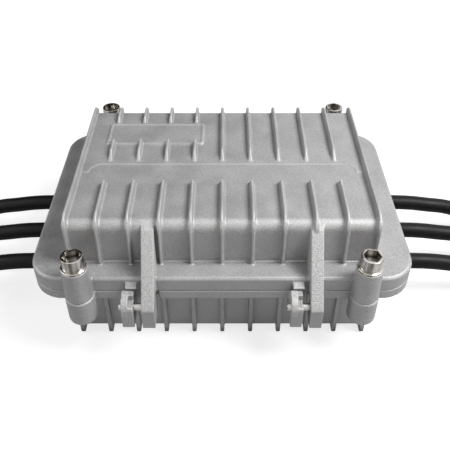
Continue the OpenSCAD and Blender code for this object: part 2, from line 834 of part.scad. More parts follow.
// Insulator with its three contacts
module connector_insert(i) {
    body_l = shell_l - mate_l;
    face = is_plug(i) ? insert_seat_l : insert_seat_l + mate_l - 1;
    r = is_plug(i) ? nose_d / 2 + mate_play : insert_r;
    pin_l = mate_l - 3;
    color(black) at_cable_end(i) translate([0, 0, boot_l + body_l - insert_seat_l]) {
        difference() {
            cylinder(h = face, r = r);
            if (!is_plug(i)) contacts(face - pin_l, pin_l + over, contact_d / 2 + 0.1);
        }
        if (is_plug(i)) contacts(face - weld, pin_l + weld, contact_d / 2);
    }
}

module contacts(from, length, r) {
    for (a = [0, 120, 240]) rotate(a) translate([contact_ring_r, 0, from])
        cylinder(h = length, r = r);
}

// Cable jackets between the gland nuts and the stripped ends inside
module inner_jackets() {
    color(black) for (i = [0:5]) at_entry(i) translate([0, 0, jacket_end_x])
        cylinder(h = nut_end_x - jacket_end_x, r = cable_d / 2);
}

module core_wires() {
    wire_end = block_x + block_w / 2 - wire_in;
    for (i = [0:5], k = [-1:1]) color(k == 0 ? "white" : k < 0 ? "red" : "black")
        at_entry(i) translate([0, k * pole_pitch, wire_end])
            cylinder(h = jacket_end_x - wire_end, r = wire_d / 2);
}

function board_corners() = [
    for (sx = [-1, 1], sy = [-1, 1])
        [sx * (board_w / 2 - board_screw_in), sy * (board_d / 2 - board_screw_in)]
];

module main_board() {
    color("darkgreen") difference() {
        translate([0, 0, board_z + board_t / 2]) cube([board_w, board_d, board_t], center = true);
        for (p = board_corners()) translate([p[0], p[1], board_z - over])
            cylinder(h = board_t + 2 * over, r = board_screw_d / 2 + 0.2);
    }
}

module board_standoffs() {
    color("gold") for (p = board_corners())
        translate([p[0], p[1], floor_z + board_pad_h]) difference() {
            hexagon(standoff_h, 5.5);
            translate([0, 0, -over]) cylinder(h = standoff_h + 2 * over, r = board_screw_d / 2);
        }
}

module board_screws() {
    color(steel) for (p = board_corners()) translate([p[0], p[1], board_top_z]) {
        cylinder(h = 2, r = 2.8);
        translate([0, 0, -board_t - 4]) cylinder(h = board_t + 4, r = board_screw_d / 2 - 0.05);
    }
}

module power_module() {
    color(black) translate([power_at[0], power_at[1], board_top_z]) linear_extrude(power_h)
        rounded(power_w, power_d, 1.5);
}

// One block of three terminals for each cable
module terminal_blocks() {
    color("green") for (e = ENTRIES) translate([e[0] * block_x, e[1] * gland_pitch, board_top_z])
        difference() {
            translate([-block_w / 2, -block_l / 2, 0]) cube([block_w, block_l, block_h]);
            for (k = [-1:1]) translate([0, k * pole_pitch, 0]) {
                translate([e[0] * block_w / 2, 0, gland_z - board_top_z]) rotate([0, 90, 0])
                    cylinder(h = 2 * wire_in + 1, r = wire_d / 2 + 0.15, center = true);
                translate([0, 0, block_h - 1.5]) cylinder(h = 3, r = 1.3);
            }
        }
}

// Row of packages with their legs on the board
module chips(x, size) {
    for (y = chip_rows) translate([x, y, board_top_z]) {
        translate([0, 0, chip_lift + size[2] / 2]) cube(size, center = true);
        for (side = [-1, 1], k = [-1:1])
            translate([side * (size[0] / 2 + 0.3), k * 2.54, (chip_lift + size[2] / 2) / 2])
                cube([0.8, 0.6, chip_lift + size[2] / 2], center = true);
    }
}

module optocouplers() {
    color([0.9, 0.9, 0.88]) chips(opto_x, opto_size);
}

module line_drivers() {
    color(black) chips(driver_x, driver_size);
}

// Glass fuse in its two clips
module fuse() {
    z = board_top_z + fuse_clip[2] - fuse_r - 1;
    color(nickel) for (side = [-1, 1])
        translate([fuse_at[0] + side * (fuse_l / 2 - fuse_clip[0] / 2), fuse_at[1], board_top_z])
            translate([-fuse_clip[0] / 2, -fuse_clip[1] / 2, 0]) cube(fuse_clip);
    color("white") translate([fuse_at[0] - fuse_l / 2, fuse_at[1], z]) rotate([0, 90, 0])
        cylinder(h = fuse_l, r = fuse_r);
}

base_housing();
lid_housing();
lid_gasket();
for (n = [1:4]) cover_screw(n);
cover_washers();
hinge_pin_left();
hinge_pin_right();
for (i = [0:5]) {
    gland_body(i);
    gland_nut(i);
    cable(i);
    connector_boot(i);
    connector_shell(i);
    connector_insert(i);
}
gland_seals();
gland_washers();
gland_locknuts();
inner_jackets();
core_wires();
main_board();
board_standoffs();
board_screws();
power_module();
terminal_blocks();
optocouplers();
line_drivers();
fuse();
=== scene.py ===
"""DMX splitter in a finned cast box, with a hinged lid, six cable glands and six leads.

Every length is in metres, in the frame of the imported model: +X to the right, +Y to the back and
+Z up, with the origin on the ground under the middle of the case.
"""

import logging
import math
from dataclasses import dataclass
from enum import Enum

import bmesh
import bpy
from mathutils import Matrix, Vector


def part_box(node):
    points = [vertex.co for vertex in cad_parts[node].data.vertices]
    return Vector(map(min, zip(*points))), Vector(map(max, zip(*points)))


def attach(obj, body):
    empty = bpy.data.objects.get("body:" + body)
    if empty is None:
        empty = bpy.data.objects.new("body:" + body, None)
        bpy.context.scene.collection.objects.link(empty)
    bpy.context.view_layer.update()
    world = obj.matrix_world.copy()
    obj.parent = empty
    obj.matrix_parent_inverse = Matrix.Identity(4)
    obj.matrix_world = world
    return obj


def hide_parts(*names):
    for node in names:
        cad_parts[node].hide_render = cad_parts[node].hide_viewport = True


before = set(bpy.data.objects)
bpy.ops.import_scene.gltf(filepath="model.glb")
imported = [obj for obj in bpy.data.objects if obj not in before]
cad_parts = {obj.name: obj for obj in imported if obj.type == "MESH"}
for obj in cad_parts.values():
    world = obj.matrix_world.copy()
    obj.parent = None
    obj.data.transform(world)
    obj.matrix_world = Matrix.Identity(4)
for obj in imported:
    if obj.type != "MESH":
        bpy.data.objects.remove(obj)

log = logging.getLogger("dmx_splitter")
Socket = bpy.types.NodeSocket
Mesh = bmesh.types.BMesh
Piece = bpy.types.Object
Colour = tuple[float, float, float]
Point = tuple[float, float, float]
Span = tuple[float, float]
Limits = tuple[float | None, float | None, float | None]


class Body(Enum):
    """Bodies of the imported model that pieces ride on."""

    CASE = "case"
    LID = "lid"


class Row(Enum):
    """Place of a cable entry along the side of the case."""

    FRONT = -1
    MIDDLE = 0
    BACK = 1


class Coupling(Enum):
    """The two halves of a round inline connector."""

    PLUG = "plug"
    SOCKET = "socket"


# Free runs of the leads on the right side, from the gland nut to the boot: all rows share their
# heights and the X of their first points
RUN_X = (0.115, 0.128, 0.142, 0.156, 0.17, 0.183, 0.195, 0.207, 0.219, 0.231, 0.243, 0.255)
RUN_END_X = {
    Row.FRONT: (0.266, 0.277, 0.288),
    Row.MIDDLE: (0.267, 0.279, 0.291),
    Row.BACK: (0.266, 0.277, 0.288),
}
RUN_Y = {
    Row.FRONT: (-0.032,) * 5 + (-0.033, -0.035, -0.038, -0.042, -0.046, -0.05, -0.053, -0.055)
    + (-0.056,) * 2,
    Row.MIDDLE: (0.0,) * 6 + (-0.001, -0.003, -0.006, -0.009, -0.011) + (-0.012,) * 4,
    Row.BACK: (0.032,) * 6 + (0.033, 0.035, 0.038, 0.042, 0.045, 0.047) + (0.048,) * 3,
}
RUN_Z = (0.029, 0.0289, 0.0283, 0.0265, 0.0245, 0.0204, 0.0154, 0.0106, 0.0072, 0.0057, 0.0056,
         0.007, 0.0088, 0.0095, 0.0095)


def placed(name: str, data: bpy.types.ID) -> Piece:
    """Puts an object of some data into the scene."""
    made = bpy.data.objects.new(name, data)
    bpy.context.scene.collection.objects.link(made)
    return made


def baked(source: Piece) -> bpy.types.Mesh:
    """Gives an object's mesh with its modifiers applied."""
    shown = source.evaluated_get(bpy.context.evaluated_depsgraph_get())
    return bpy.data.meshes.new_from_object(shown)


class NodeGraph:
    """A material's node tree, with short ways to add the nodes that the finishes use."""

    def __init__(self, name: str) -> None:
        """Starts a material that reads its piece's own coordinates."""
        self.material = bpy.data.materials.new(name)
        self.material.use_nodes = True
        self.tree = self.material.node_tree
        self.shader = self.tree.nodes["Principled BSDF"]
        self.place = self.add("ShaderNodeTexCoord").outputs["Object"]

    def add(self, kind: str, **settings: object) -> bpy.types.Node:
        """Adds a node.

        Args:
            kind: Blender's name of the node type.
            settings: Values of the node's own properties.

        Returns:
            The new node.
        """
        node = self.tree.nodes.new(kind)
        for name, value in settings.items():
            setattr(node, name, value)
        return node

    def feed(self, socket: Socket, source: object) -> None:
        """Links a source socket into a socket, or sets a plain value on it."""
        if isinstance(source, Socket):
            self.tree.links.new(source, socket)
        else:
            socket.default_value = source

    def surface(self, colour: Colour, metallic: float, roughness: float) -> None:
        """Sets the shader's plain values, which later links may take over."""
        self.fill(Base_Color=(*colour, 1.0), Metallic=metallic, Roughness=roughness)

    def noise(self, size: float, detail: float = 2.0, stretch: Point = (1, 1, 1)) -> Socket:
        """Adds a cloudy pattern.

        Args:
            size: Length of a typical cloud.
            detail: Number of finer layers.
            stretch: How much finer the pattern is along each axis.

        Returns:
            The pattern's value, from 0 to 1.
        """
        mapping = self.add("ShaderNodeMapping")
        self.feed(mapping.inputs["Scale"], stretch)
        self.feed(mapping.inputs["Vector"], self.place)
        node = self.add("ShaderNodeTexNoise")
        self.feed(node.inputs["Scale"], 1.0 / size)
        self.feed(node.inputs["Detail"], detail)
        self.feed(node.inputs["Vector"], mapping.outputs["Vector"])
        return node.outputs["Fac"]

    def remap(self, value: Socket, before: Span, after: Span) -> Socket:
        """Maps a value's range onto another, held at both ends."""
        node = self.add("ShaderNodeMapRange")
        self.feed(node.inputs["Value"], value)
        for socket, number in zip(list(node.inputs)[1:5], (*before, *after)):
            socket.default_value = number
        return node.outputs["Result"]

    def maths(self, operation: str, first: object, second: object = 0.0) -> Socket:
        """Adds one step of arithmetic on sockets or numbers."""
        node = self.add("ShaderNodeMath", operation=operation)
        self.feed(node.inputs[0], first)
        self.feed(node.inputs[1], second)
        return node.outputs["Value"]

    def times(self, first: object, second: object) -> Socket:
        """Multiplies two values."""
        return self.maths("MULTIPLY", first, second)

    def plus(self, first: object, second: object) -> Socket:
        """Adds two values."""
        return self.maths("ADD", first, second)

    def peak(self, first: object, *others: object) -> Socket:
        """Takes the largest of several values."""
        for other in others:
            first = self.maths("MAXIMUM", first, other)
        return first

    def rest(self, share: object) -> Socket:
        """Gives what a share leaves of 1."""
        return self.maths("SUBTRACT", 1.0, share)

    def ramp(self, value: Socket, *stops: tuple[float, Colour]) -> Socket:
        """Turns a value into a colour between two stops, each a value and its colour."""
        node = self.add("ShaderNodeValToRGB")
        for element, (position, colour) in zip(node.color_ramp.elements, stops):
            element.position = position
            element.color = (*colour, 1.0)
        self.feed(node.inputs["Fac"], value)
        return node.outputs["Color"]

    def mix(self, share: object, first: object, second: object) -> Socket:
        """Mixes two colours, each a socket or plain values, by a share from 0 to 1."""
        node = self.add("ShaderNodeMix", data_type="RGBA")
        sockets = [s for s in node.inputs if s.type == "RGBA"]
        self.feed(node.inputs[0], share)
        for socket, source in zip(sockets, (first, second)):
            self.feed(socket, source if isinstance(source, Socket) else (*source, 1.0))
        return next(s for s in node.outputs if s.type == "RGBA")

    def bump(self, height: Socket, strength: object, depth: float,
             below: Socket | None = None) -> Socket:
        """Adds relief.

        Args:
            height: Pattern of the relief.
            strength: Share of the relief that shows, a number or a socket.
            depth: Depth of the full relief.
            below: Normal of a coarser relief under this one.

        Returns:
            The bumped normal.
        """
        node = self.add("ShaderNodeBump")
        self.feed(node.inputs["Distance"], depth)
        self.feed(node.inputs["Strength"], strength)
        self.feed(node.inputs["Height"], height)
        if below is not None:
            self.feed(node.inputs["Normal"], below)
        return node.outputs["Normal"]

    def axes(self) -> list[Socket]:
        """Gives the piece's own X, Y and Z."""
        parts = self.add("ShaderNodeSeparateXYZ")
        self.feed(parts.inputs["Vector"], self.place)
        return list(parts.outputs)

    def window(self, low: Limits, high: Limits) -> Socket:
        """Is 1 inside a box, whose sides may be left open with None."""
        parts = self.axes()
        total: object = 1.0
        for axis in range(3):
            for limits, test in ((low, "GREATER_THAN"), (high, "LESS_THAN")):
                if limits[axis] is not None:
                    inside = self.maths(test, parts[axis], limits[axis])
                    total = self.times(total, inside)
        return total

    def shade(self, distance: float) -> Socket:
        """Measures how open a point is: 1 on an open face, and less in a hollow."""
        node = self.add("ShaderNodeAmbientOcclusion", samples=6, only_local=True)
        self.feed(node.inputs["Distance"], distance)
        return node.outputs["AO"]

    def fill(self, **sources: object) -> bpy.types.Material:
        """Feeds the shader's inputs, named with _ for a space, and returns the material."""
        for name, source in sources.items():
            self.feed(self.shader.inputs[name.replace("_", " ")], source)
        return self.material


@dataclass(frozen=True)
class CastFinish:
    """Shot-blasted die casting with a silver grey coat.

    Arms are the hinge parts of the lid and ears those of the base, both by the X of their
    middles. The bends are limits of Blender's pointiness, which is 0.5 on a flat face.
    """

    slot: str = "cast_alloy"
    pale: Colour = (0.47, 0.465, 0.465)
    dull: Colour = (0.34, 0.335, 0.335)
    # Pale colour of the speckles, of the wear, and of the painted highlights on edges and along the
    # joint
    highlit_and_worn: Colour = (0.62, 0.615, 0.61)
    # Colour of the painted shade in corners, in hollows and on the fin tips next to the ground
    painted_shade: Colour = (0.07, 0.068, 0.066)
    metallic: float = 0.35
    arms: Span = (-0.0437, 0.056)
    arm_half: float = 0.0040
    arm_back_y: float = -0.060
    shoulder_z: Span = (0.0488, 0.0525)
    ears: Span = (-0.056, 0.0443)
    ear_half: float = 0.0037
    ear_back_y: float = -0.0805
    ear_z: Span = (0.0445, 0.0552)
    pocket_off: float = 0.0005
    # Band of the faint painted highlight along the joint line
    joint_front_y: float = -0.0925
    joint_z: Span = (0.0489, 0.0504)
    hinge_back_y: float = -0.0795
    # Span in Y and Z of the painted highlight along the lid's front edge
    front_highlight_y: Span = (-0.0605, -0.0575)
    front_highlight_z: Span = (0.0815, 0.0855)
    # Heights of the painted shade on the fin tips, pointiness limits of the painted shade in
    # corners and of the pale edges, and depth of the painted shade in hollows
    tips_z: Span = (0.0015, 0.0075)
    corner_bend: Span = (0.42, 0.488)
    edge_bend: Span = (0.51, 0.575)
    hollow_depth: float = 0.003

    def rough_mask(self, graph: NodeGraph) -> Socket:
        """Marks the coarse cast faces: the upper arms, and the ears up to their pockets."""
        total: object = 0.0
        for x in self.arms:
            low = (x - self.arm_half, None, self.shoulder_z[0])
            high = (x + self.arm_half, self.arm_back_y, None)
            total = graph.plus(total, graph.window(low, high))
        total = graph.times(total, graph.remap(graph.axes()[2], self.shoulder_z, (0.2, 1.0)))
        for x in self.ears:
            low = (x - self.ear_half, None, self.ear_z[0])
            high = (x + self.pocket_off, self.ear_back_y, self.ear_z[1])
            total = graph.plus(total, graph.window(low, high))
        return total

    def painted_front_highlight(self, graph: NodeGraph) -> Socket:
        """Marks the long rounded front edge of the lid, which gets a painted highlight."""
        _, y, z = graph.axes()
        ahead = graph.remap(y, self.front_highlight_y, (1.0, 0.0))
        return graph.times(ahead, graph.remap(z, self.front_highlight_z, (0.0, 1.0)))

    def joint_mask(self, graph: NodeGraph) -> Socket:
        """Marks a band along the joint line of both castings, but not the hinge parts, which gets a
        faint painted highlight in place of most of the pale edges.
        """
        low, high = self.joint_z
        joint = graph.window((None, self.joint_front_y, low), (None, None, high))
        for middles, half in ((self.arms, self.arm_half), (self.ears, self.ear_half)):
            for x in middles:
                hinge = graph.window((x - half, None, None), (x + half, self.hinge_back_y, None))
                joint = graph.times(joint, graph.rest(hinge))
        return joint

    def material(self) -> bpy.types.Material:
        """Builds the material, with wear and painted highlights on raised edges, and painted shade
        in corners and on the fin tips.
        """
        graph = NodeGraph(self.slot)
        graph.surface(self.pale, self.metallic, 0.46)
        grain = graph.noise(0.0006, 3.0)
        clouds = graph.noise(0.018, 3.0)
        coarse = graph.noise(0.00075, 1.5)
        mask = self.rough_mask(graph)
        seam = self.joint_mask(graph)
        pointed = graph.add("ShaderNodeNewGeometry").outputs["Pointiness"]

        mixed = graph.plus(graph.times(grain, 0.75), graph.times(clouds, 0.25))
        coat = graph.ramp(mixed, (0.4, self.dull), (0.58, self.pale))
        # Painted shade: darker towards the ground on the fin tips, in concave corners and in
        # hollows
        tips = graph.remap(graph.axes()[2], self.tips_z, (0.9, 0.0))
        corner = graph.remap(pointed, self.corner_bend, (0.6, 0.0))
        hollow = graph.remap(graph.shade(self.hollow_depth), (0.5, 0.88), (0.42, 0.0))
        shaded_coat = graph.mix(graph.peak(tips, corner, hollow), coat, self.painted_shade)

        # Raised edges are paler: partly wear, partly a painted highlight where the rounded edges
        # catch the light
        edges = graph.remap(pointed, self.edge_bend, (0.0, 0.75))
        # Painted highlight along the lid's front edge, broken up by the grain
        front_highlight = graph.times(self.painted_front_highlight(graph), graph.remap(grain, (0.4, 0.6), (0.05, 0.45)))
        # Fin tips and the joint band keep little of the pale edges, and the joint band gets a faint
        # painted highlight of its own
        kept = graph.rest(graph.peak(tips, graph.times(seam, 0.75)))
        speckled = graph.times(mask, graph.remap(coarse, (0.42, 0.58), (0.0, 0.85)))
        bright = graph.times(graph.peak(edges, front_highlight), kept)
        wear_and_highlight = graph.peak(bright, speckled, graph.times(seam, 0.2))
        highlit_and_worn = graph.mix(wear_and_highlight, shaded_coat, self.highlit_and_worn)

        roughness = graph.plus(graph.remap(clouds, (0.3, 0.7), (0.4, 0.52)), graph.times(wear_and_highlight, 0.4))
        fine = graph.bump(grain, 0.55, 0.0001, graph.bump(clouds, 0.25, 0.0004))
        relief = graph.bump(coarse, mask, 0.0004, fine)
        return graph.fill(Base_Color=highlit_and_worn, Roughness=roughness, Normal=relief)


@dataclass(frozen=True)
class MetalFinish:
    """Bare or plated metal with fine turning marks, painted dark reflections in upright stripes and
    painted shade in hollows.
    """

    slot: str
    colour: Colour
    roughness: float = 0.22
    marks: Colour = (0.85, 0.83, 0.8)
    # Strength of the painted dark reflections in upright stripes on side faces
    streaks: float = 0.0
    # Colour of the painted shade in hollows, and of the painted dark reflections on upright faces
    hollow: Colour = (0.035, 0.028, 0.022)
    hollow_depth: float = 0.004

    def material(self) -> bpy.types.Material:
        """Builds the metal's material."""
        graph = NodeGraph(self.slot)
        graph.surface(self.colour, 1.0, self.roughness)
        smears = graph.noise(0.004, 3.0)
        lines = graph.noise(0.0006, 1.0, (1, 1, 6))
        shade = tuple(c * m for c, m in zip(self.colour, self.marks))
        colour = graph.ramp(smears, (0.35, shade), (0.6, self.colour))
        # Painted dark reflections in upright stripes, on the side faces only
        if self.streaks:
            stripes = graph.noise(0.0035, 1.0, (1, 1, 0.06))
            upright = graph.remap(stripes, (0.4, 0.58), (self.streaks, 0.0))
            normal = graph.add("ShaderNodeSeparateXYZ")
            graph.feed(normal.inputs["Vector"], graph.place.node.outputs["Normal"])
            level = graph.maths("ABSOLUTE", normal.outputs["Z"])
            side = graph.remap(level, (0.3, 0.6), (1.0, 0.0))
            colour = graph.mix(graph.times(upright, side), colour, self.hollow)
        # Painted shade in hollows, such as the screws' sockets
        deep = graph.remap(graph.shade(self.hollow_depth), (0.38, 0.84), (0.95, 0.0))
        colour = graph.mix(deep, colour, self.hollow)
        roughness = graph.remap(smears, (0.3, 0.7), (self.roughness * 0.8, self.roughness * 1.5))
        relief = graph.bump(lines, 0.2, 0.00002)
        return graph.fill(Base_Color=colour, Roughness=roughness, Normal=relief)


@dataclass(frozen=True)
class MouldedFinish:
    """Rubber or plastic with a fine moulded grain."""

    slot: str
    colour: Colour
    roughness: float = 0.5
    grain: float = 0.0008
    relief: float = 0.00004
    spread: float = 0.25
    specular: float = 0.5

    def material(self) -> bpy.types.Material:
        """Builds the moulded material."""
        graph = NodeGraph(self.slot)
        graph.surface(self.colour, 0.0, self.roughness)
        graph.fill(Specular_IOR_Level=self.specular)
        clouds = graph.noise(0.009, 3.0)
        grain = graph.noise(self.grain, 2.0)
        dark = tuple(c * (1 - self.spread) for c in self.colour)
        light = tuple(min(1.0, c * (1 + self.spread)) for c in self.colour)
        colour = graph.ramp(clouds, (0.35, dark), (0.65, light))
        roughness = graph.remap(clouds, (0.3, 0.7), (self.roughness * 0.85, self.roughness * 1.15))
        relief = graph.bump(grain, 0.4, self.relief)
        return graph.fill(Base_Color=colour, Roughness=roughness, Normal=relief)


@dataclass(frozen=True)
class WireFinish:
    """Insulation of the three cores of each lead, told apart by their place at the entries."""

    slot: str = "wire_plastic"
    live: Colour = (0.4, 0.04, 0.03)
    middle: Colour = (0.6, 0.6, 0.57)
    far: Colour = (0.02, 0.02, 0.022)
    pitch: float = 0.032
    half_step: float = 0.00175

    def material(self) -> bpy.types.Material:
        """Builds the insulation, red, white and black across each entry."""
        graph = NodeGraph(self.slot)
        graph.surface(self.live, 0.0, 0.4)
        shifted = graph.plus(graph.axes()[1], 4.5 * self.pitch)
        across = graph.maths("SUBTRACT", graph.maths("MODULO", shifted, self.pitch), self.pitch / 2)
        pair = graph.mix(graph.maths("GREATER_THAN", across, self.half_step), self.middle, self.far)
        colour = graph.mix(graph.maths("LESS_THAN", across, -self.half_step), pair, self.live)
        return graph.fill(Base_Color=colour)


@dataclass(frozen=True)
class BoardFinish:
    """Green solder mask with paler copper tracks under it."""

    slot: str = "board_laminate"
    mask: Colour = (0.015, 0.13, 0.05)
    track: Colour = (0.035, 0.26, 0.09)
    pitch: float = 0.0024
    track_share: float = 0.3

    def tracks(self, graph: NodeGraph, along: int, across: int) -> Socket:
        """Is 1 on short parallel tracks along one axis, spaced across another."""
        axes = graph.axes()
        lane = graph.maths("DIVIDE", axes[across], self.pitch)
        place = graph.add("ShaderNodeCombineXYZ")
        graph.feed(place.inputs["X"], graph.times(axes[along], 60.0))
        graph.feed(place.inputs["Y"], graph.times(graph.maths("FLOOR", lane), 0.37))
        graph.feed(place.inputs["Z"], 3.1 * along)
        run = graph.add("ShaderNodeTexNoise")
        graph.feed(run.inputs["Scale"], 1.0)
        graph.feed(run.inputs["Vector"], place.outputs["Vector"])
        line = graph.maths("LESS_THAN", graph.maths("FRACT", lane), self.track_share)
        return graph.times(line, graph.maths("GREATER_THAN", run.outputs["Fac"], 0.55))

    def material(self) -> bpy.types.Material:
        """Builds the board's material."""
        graph = NodeGraph(self.slot)
        graph.surface(self.mask, 0.0, 0.3)
        copper = graph.peak(self.tracks(graph, 0, 1), self.tracks(graph, 1, 0))
        colour = graph.mix(copper, self.mask, self.track)
        return graph.fill(Base_Color=colour, Normal=graph.bump(copper, 0.4, 0.00004))


@dataclass(frozen=True)
class FuseFinish:
    """Glass tube between two plated clips."""

    slot: str = "fuse_glass"
    glass: Colour = (0.6, 0.63, 0.6)
    metal: Colour = (0.55, 0.54, 0.52)
    middle_x: float = -0.024
    glass_half: float = 0.005

    def material(self) -> bpy.types.Material:
        """Builds the fuse's material, told apart along the tube."""
        graph = NodeGraph(self.slot)
        graph.surface(self.glass, 0.0, 0.12)
        off = graph.maths("ABSOLUTE", graph.maths("SUBTRACT", graph.axes()[0], self.middle_x))
        clip = graph.maths("GREATER_THAN", off, self.glass_half)
        return graph.fill(Base_Color=graph.mix(clip, self.glass, self.metal), Metallic=clip)


class Finishes:
    """The finished materials, one for each slot of the record."""

    def __init__(self) -> None:
        """Builds every material once."""
        made = [
            CastFinish(),
            MouldedFinish("gasket_rubber", (0.03, 0.03, 0.03), 0.6),
            MetalFinish("bright_steel", (0.66, 0.64, 0.61), 0.16, streaks=0.75),
            MetalFinish("gland_metal", (0.57, 0.56, 0.55), 0.26),
            MouldedFinish("cable_rubber", (0.005, 0.005, 0.0055), 0.45, specular=0.17),
            MouldedFinish("boot_rubber", (0.016, 0.016, 0.017), 0.6),
            MetalFinish("shell_metal", (0.5, 0.49, 0.47), 0.3),
            MouldedFinish("insert_plastic", (0.02, 0.02, 0.022), 0.4),
            WireFinish(),
            BoardFinish(),
            MetalFinish("brass", (0.7, 0.5, 0.22), 0.3),
            MouldedFinish("module_plastic", (0.02, 0.02, 0.022), 0.45),
            MouldedFinish("terminal_plastic", (0.03, 0.26, 0.1), 0.35),
            MouldedFinish("white_plastic", (0.7, 0.7, 0.66), 0.45),
            FuseFinish(),
        ]
        self.by_slot = {finish.slot: finish.material() for finish in made}

    def dress(self, piece: Piece, slot: str, node: str = "", body: str = Body.CASE.value) -> None:
        """Gives a piece the material of a slot, puts it on its body, and hides the CAD node that it
        replaces.
        """
        piece.data.materials.clear()
        piece.data.materials.append(self.by_slot[slot])
        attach(piece, body)
        if node:
            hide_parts(node)


class Shape:
    """Mesh builders that the sub-assemblies share."""

    nut_steps = 72
    bevel_steps = 2
    flat_bend = math.radians(1.0)
    bevelled_bend = math.radians(40.0)

    @staticmethod
    def revolved(profile: list[Span], closed: bool = False, steps: int = 64) -> Mesh:
        """Spins an outline round the Z axis.

        Args:
            profile: Points as radius and height.
            closed: True where the outline is a loop, as on a ring.
            steps: Number of faces round the axis.

        Returns:
            The closed solid.
        """
        bm = bmesh.new()
        verts = [bm.verts.new((radius, 0.0, height)) for radius, height in profile]
        pairs = list(zip(verts, verts[1:])) + ([(verts[-1], verts[0])] if closed else [])
        edges = [bm.edges.new(pair) for pair in pairs]
        bmesh.ops.spin(bm, geom=verts + edges, cent=(0, 0, 0), axis=(0, 0, 1), dvec=(0, 0, 0),
                       angle=math.tau, steps=steps, use_merge=True, use_duplicate=False)
        bmesh.ops.remove_doubles(bm, verts=bm.verts, dist=1e-6)
        bmesh.ops.recalc_face_normals(bm, faces=bm.faces)
        return bm

    @staticmethod
    def nut(flats: float, rings: list[Span]) -> Mesh:
        """Builds a nut round the Z axis, whose hexagon trims every larger radius.

        Args:
            flats: Width across the flats.
            rings: Heights and radii, down the outside and back through the bore.

        Returns:
            The closed nut.
        """
        bm = bmesh.new()
        steps = Shape.nut_steps
        loops = []
        for height, radius in rings:
            loop = []
            for k in range(steps):
                angle = math.tau * k / steps
                off = (angle + math.pi / 6) % (math.pi / 3) - math.pi / 6
                reach = min(radius, flats / 2 / math.cos(off))
                point = reach * math.cos(angle), reach * math.sin(angle), height
                loop.append(bm.verts.new(point))
            loops.append(loop)
        for one, two in zip(loops, loops[1:] + loops[:1]):
            for k in range(steps):
                after = (k + 1) % steps
                bm.faces.new((one[k], one[after], two[after], two[k]))
        bmesh.ops.recalc_face_normals(bm, faces=bm.faces)
        return bm

    @staticmethod
    def joined(parts: list[tuple[Mesh, Matrix]]) -> Mesh:
        """Puts meshes, each with its place, into one, and frees them."""
        whole = bmesh.new()
        for bm, place in parts:
            bmesh.ops.transform(bm, matrix=place, verts=bm.verts)
            mesh = bpy.data.meshes.new("part")
            bm.to_mesh(mesh)
            bm.free()
            whole.from_mesh(mesh)
            bpy.data.meshes.remove(mesh)
        return whole

    @staticmethod
    def merged(node: str) -> Mesh:
        """Copies a CAD node's mesh and joins its loose triangles."""
        bm = bmesh.new()
        bm.from_mesh(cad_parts[node].data)
        bmesh.ops.remove_doubles(bm, verts=bm.verts, dist=2e-6)
        return bm

    @staticmethod
    def softened(node: str, width: float) -> Mesh:
        """Copies a CAD node and bevels its sharp edges by a width."""
        bm = Shape.merged(node)
        bmesh.ops.dissolve_limit(bm, angle_limit=Shape.flat_bend, verts=bm.verts, edges=bm.edges)
        sharp = [e for e in bm.edges if e.is_manifold and e.calc_face_angle() > Shape.bevelled_bend]
        bmesh.ops.bevel(bm, geom=sharp, offset=width, segments=Shape.bevel_steps, profile=0.5,
                        material=-1, affect="EDGES", clamp_overlap=True)
        return bm

    @staticmethod
    def piece(name: str, bm: Mesh, place: Matrix | None = None,
              smooth_angle: float = 35.0) -> Piece:
        """Makes an object of a mesh, with its place in its points.

        Args:
            name: Name of the piece.
            bm: The mesh, which is freed.
            place: Where the mesh goes, or None to leave it where it is.
            smooth_angle: Edges that bend by more than this, in degrees, stay sharp.

        Returns:
            The new object, at the origin.
        """
        if place is not None:
            bmesh.ops.transform(bm, matrix=place, verts=bm.verts)
        mesh = bpy.data.meshes.new(name)
        bm.to_mesh(mesh)
        bm.free()
        mesh.polygons.foreach_set("use_smooth", [True] * len(mesh.polygons))
        mesh.set_sharp_from_angle(angle=math.radians(smooth_angle))
        return placed(name, mesh)


